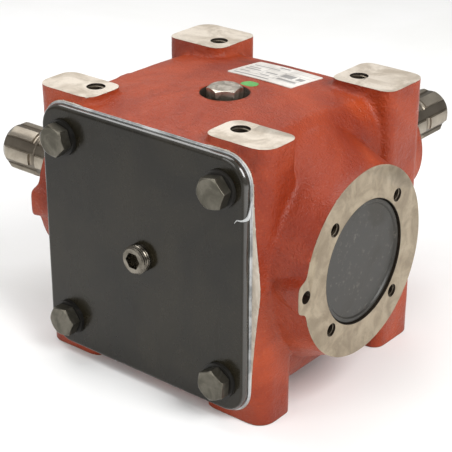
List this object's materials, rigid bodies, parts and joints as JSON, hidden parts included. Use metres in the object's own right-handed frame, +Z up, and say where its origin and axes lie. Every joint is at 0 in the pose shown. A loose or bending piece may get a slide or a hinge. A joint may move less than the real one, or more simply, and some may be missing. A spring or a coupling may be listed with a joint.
{
  "type": "right-angle bevel gearbox",
  "caption": "Cast right-angle bevel gearbox with a bolted front cover, a blanked side flange and two six-spline shaft ends.",
  "frame": {"origin": "centre of the lower bolt pattern, on the plane of the lower pads", "axes": "+X along the output line towards the blanked flange, +Y along the input line towards the input spline, +Z up; the cover faces -Y"},
  "size_m": [0.303, 0.337, 0.1853],
  "materials": {
    "red_casting": "brick-red primer on rough cast iron, faces machined bare",
    "black_plate": "black gloss paint",
    "sealant": "grey sealing compound",
    "dark_screw": "oiled dark steel",
    "plug_steel": "plain turned steel",
    "copper_washer": "soft metal",
    "label_foil": "printed foil, blank fields",
    "rubber": "matt nitrile rubber",
    "spring_steel": "blackened spring steel",
    "shaft_steel": "oiled turned and ground steel",
    "gear_steel": "case-hardened and oiled",
    "bearing_steel": "ground bearing steel",
    "cage_sheet": "pressed steel sheet"
  },
  "bodies": {
    "gearcase": {"housing": "red_casting", "front_cover": "black_plate", "cover_sealant": "sealant", "cover_bolts": "dark_screw", "cover_washers": "black_plate", "level_plug": "plug_steel", "level_plug_nut": "plug_steel", "filler_plug": "plug_steel", "filler_washer": "copper_washer", "rating_plate": "label_foil", "end_cap": "rubber", "output_seal": "rubber", "input_seal": "rubber", "right_bearing_clip": "spring_steel", "left_bearing_clip": "spring_steel", "input_bearing_clip": "spring_steel", "output_left_outer_ring": "bearing_steel", "output_right_outer_ring": "bearing_steel", "input_inner_outer_ring": "bearing_steel", "input_outer_outer_ring": "bearing_steel"},
    "output_train": {"output_shaft": "shaft_steel", "crown_gear": "gear_steel", "crown_key": "shaft_steel", "crown_clip": "spring_steel", "output_left_inner_ring": "bearing_steel", "output_right_inner_ring": "bearing_steel"},
    "input_train": {"input_shaft": "shaft_steel", "bevel_pinion": "gear_steel", "pinion_key": "shaft_steel", "pinion_clip": "spring_steel", "input_shaft_clip": "spring_steel", "input_spacer": "shaft_steel", "input_inner_inner_ring": "bearing_steel", "input_outer_inner_ring": "bearing_steel"},
    "output_left_roller_set": {"output_left_rollers": "bearing_steel", "output_left_cage": "cage_sheet"},
    "output_right_roller_set": {"output_right_rollers": "bearing_steel", "output_right_cage": "cage_sheet"},
    "input_inner_roller_set": {"input_inner_rollers": "bearing_steel", "input_inner_cage": "cage_sheet"},
    "input_outer_roller_set": {"input_outer_rollers": "bearing_steel", "input_outer_cage": "cage_sheet"}
  },
  "joints": [
    {"name": "output_spin", "type": "hinge", "parent": "gearcase", "child": "output_train", "pos_m": [0, -0.014, 0.0975], "axis": [1, 0, 0], "continuous": true},
    {"name": "input_spin", "type": "hinge", "parent": "gearcase", "child": "input_train", "pos_m": [0.008, 0, 0.0975], "axis": [0, 1, 0], "continuous": true},
    {"name": "output_left_rollers_orbit", "type": "hinge", "parent": "gearcase", "child": "output_left_roller_set", "pos_m": [-0.0788, -0.014, 0.0975], "axis": [1, 0, 0], "continuous": true},
    {"name": "output_right_rollers_orbit", "type": "hinge", "parent": "gearcase", "child": "output_right_roller_set", "pos_m": [0.0928, -0.014, 0.0975], "axis": [1, 0, 0], "continuous": true},
    {"name": "input_inner_rollers_orbit", "type": "hinge", "parent": "gearcase", "child": "input_inner_roller_set", "pos_m": [0.008, 0.0668, 0.0975], "axis": [0, 1, 0], "continuous": true},
    {"name": "input_outer_rollers_orbit", "type": "hinge", "parent": "gearcase", "child": "input_outer_roller_set", "pos_m": [0.008, 0.1338, 0.0975], "axis": [0, 1, 0], "continuous": true}
  ],
  "couplings": [
    {"joint": "input_spin", "follows": "output_spin", "ratio": 1.5333},
    {"joint": "output_left_rollers_orbit", "follows": "output_spin", "ratio": 0.4225},
    {"joint": "output_right_rollers_orbit", "follows": "output_spin", "ratio": 0.4225},
    {"joint": "input_inner_rollers_orbit", "follows": "output_spin", "ratio": 0.64369},
    {"joint": "input_outer_rollers_orbit", "follows": "output_spin", "ratio": 0.64369}
  ]
}
